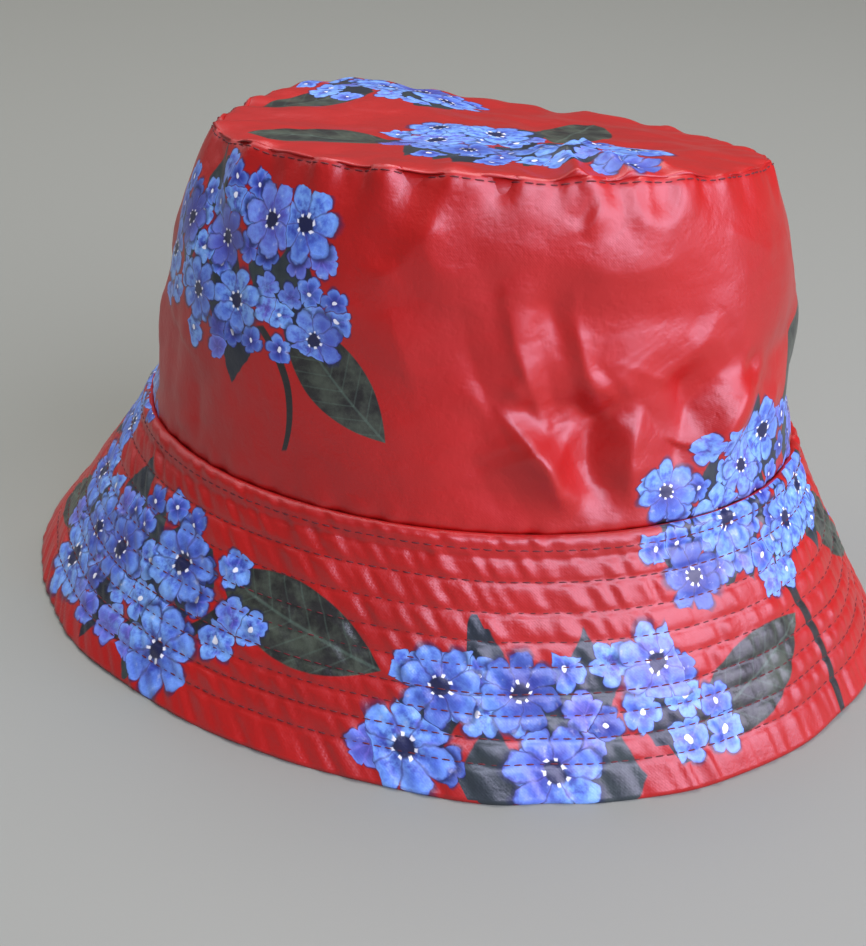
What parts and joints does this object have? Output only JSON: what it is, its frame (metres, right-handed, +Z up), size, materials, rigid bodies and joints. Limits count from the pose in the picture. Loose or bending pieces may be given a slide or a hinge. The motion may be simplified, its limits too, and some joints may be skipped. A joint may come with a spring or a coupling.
{
  "type": "rain hat",
  "caption": "Soft bucket-shaped rain hat of coated cloth with a flat oval tip, a deep crumpled side and a sloping brim of stitched plies.",
  "frame": {"origin": "middle of the hat's footprint, on the surface that the brim's edge rests on", "axes": "+Z up through the crown, X along the longer way of the head oval, which is also the brim's longest way"},
  "size_m": [0.2838, 0.2282, 0.1639],
  "materials": {
    "coated_cloth": "red cloth with a semi-gloss waterproof coating and a blue flower print"
  },
  "bodies": {
    "root": {"crown_tip": "coated_cloth", "crown_side": "coated_cloth", "brim": "coated_cloth"}
  },
  "joints": []
}
